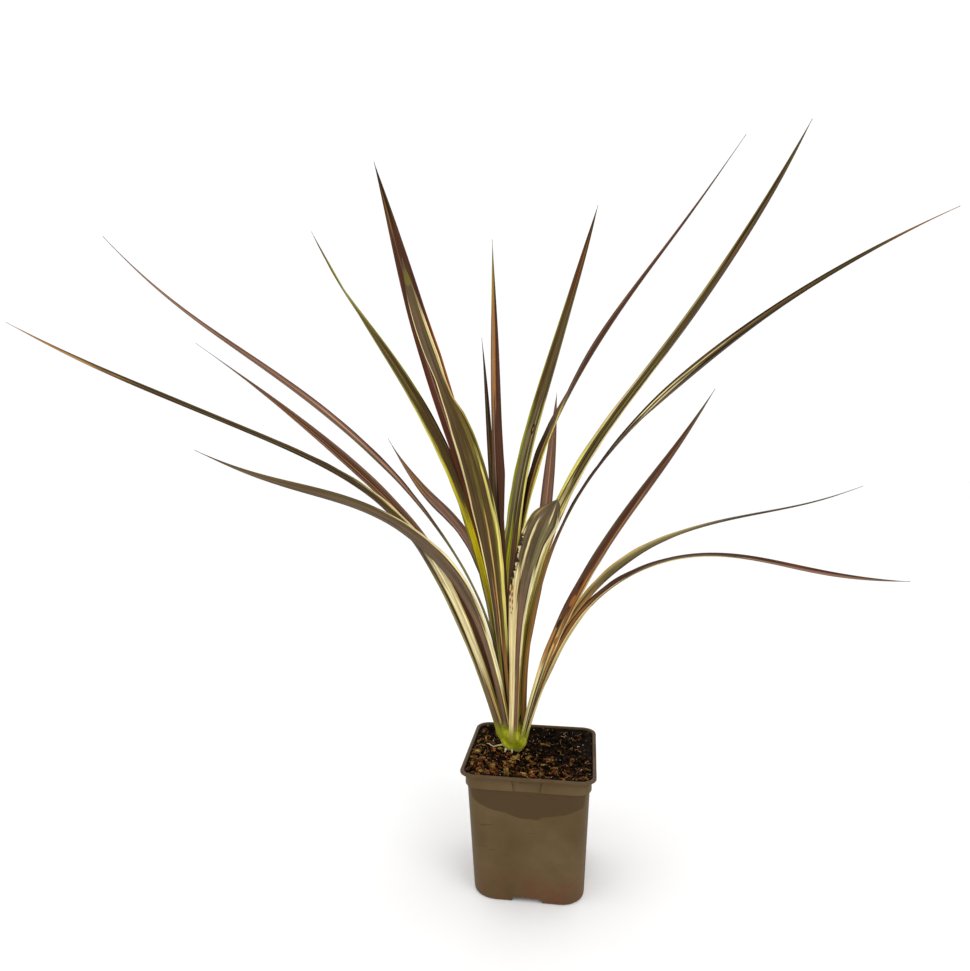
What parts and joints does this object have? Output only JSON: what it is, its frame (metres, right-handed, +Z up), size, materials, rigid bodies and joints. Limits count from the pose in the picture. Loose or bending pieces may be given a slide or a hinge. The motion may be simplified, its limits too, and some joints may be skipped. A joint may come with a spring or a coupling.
{
  "type": "potted cordyline plant",
  "caption": "Young cordyline with long striped strap leaves in olive, mauve and cream, growing in a square taupe plastic nursery pot",
  "frame": {"origin": "centre of the pot's base, on the ground it stands on", "axes": "+Z up, X and Y along the pot's sides, the side towards -Y is the front, +X to the right seen from the front"},
  "size_m": [0.6136, 0.3408, 0.5193],
  "materials": {
    "pot_plastic": "satin",
    "potting_mix": "matte",
    "crown_green": "satin",
    "leaf_olive": "satin",
    "leaf_mauve": "satin",
    "leaf_dark": "satin"
  },
  "bodies": {
    "root": {"pot": "pot_plastic", "soil": "potting_mix", "crown": "crown_green", "leaf_01": "leaf_olive", "leaf_02": "leaf_mauve", "leaf_03": "leaf_dark", "leaf_04": "leaf_olive", "leaf_05": "leaf_mauve", "leaf_06": "leaf_olive", "leaf_07": "leaf_dark", "leaf_08": "leaf_olive", "leaf_09": "leaf_dark", "leaf_10": "leaf_mauve", "leaf_11": "leaf_olive", "leaf_12": "leaf_dark", "leaf_13": "leaf_mauve", "leaf_14": "leaf_olive", "leaf_15": "leaf_olive", "leaf_16": "leaf_dark", "leaf_17": "leaf_mauve", "leaf_18": "leaf_olive", "leaf_19": "leaf_mauve"}
  },
  "joints": []
}
